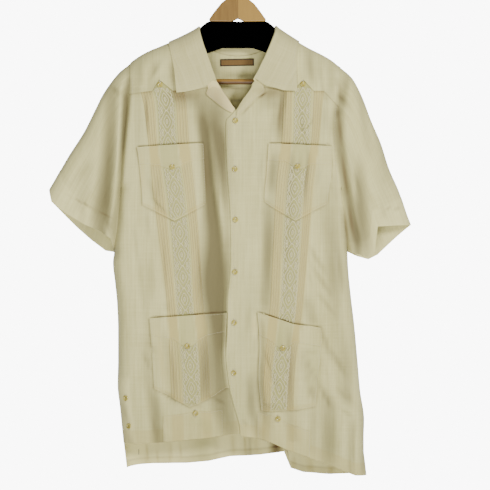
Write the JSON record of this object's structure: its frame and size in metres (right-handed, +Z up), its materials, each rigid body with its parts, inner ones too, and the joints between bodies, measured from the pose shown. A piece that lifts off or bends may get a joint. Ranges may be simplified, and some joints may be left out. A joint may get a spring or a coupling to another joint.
{
  "type": "camp shirt on a hanger",
  "caption": "Short-sleeved camp shirt with open collar, patch pockets and tucked bands, hung on a wooden hanger by its hook.",
  "frame": {"origin": "where the hanger's hook bears on its rail, at the inside top of the hook", "axes": "+Z up, +X to the wearer's left, +Y to the back of the shirt"},
  "size_m": [0.705, 0.0782, 1.0191],
  "materials": {
    "cloth": "cream linen-like plain weave",
    "pearl": "yellowed pearl button",
    "label": "tan woven ribbon",
    "wood": "varnished",
    "felt": "black flocked",
    "steel": "drawn wire"
  },
  "bodies": {
    "root": {"back": "cloth", "chest_band_l": "cloth", "chest_band_r": "cloth", "chest_button_l": "pearl", "chest_button_r": "pearl", "chest_pocket_l": "cloth", "chest_pocket_r": "cloth", "collar": "cloth", "hanger_bar": "wood", "hanger_head": "wood", "hanger_hook": "steel", "hanger_shoulders": "felt", "hem_band_l": "cloth", "hem_band_r": "cloth", "hem_button_l": "pearl", "hem_button_r": "pearl", "left_front": "cloth", "left_lapel": "cloth", "left_sleeve": "cloth", "lower_band_l": "cloth", "lower_band_r": "cloth", "lower_button_l": "pearl", "lower_button_r": "pearl", "lower_pocket_l": "cloth", "lower_pocket_r": "cloth", "neck_label": "label", "placket_button_1": "pearl", "placket_button_2": "pearl", "placket_button_3": "pearl", "placket_button_4": "pearl", "placket_button_5": "pearl", "placket_button_6": "pearl", "right_front": "cloth", "right_lapel": "cloth", "right_sleeve": "cloth", "vent_button_1": "pearl", "vent_button_2": "pearl", "yoke": "cloth", "yoke_button_l": "pearl", "yoke_button_r": "pearl"}
  },
  "joints": []
}
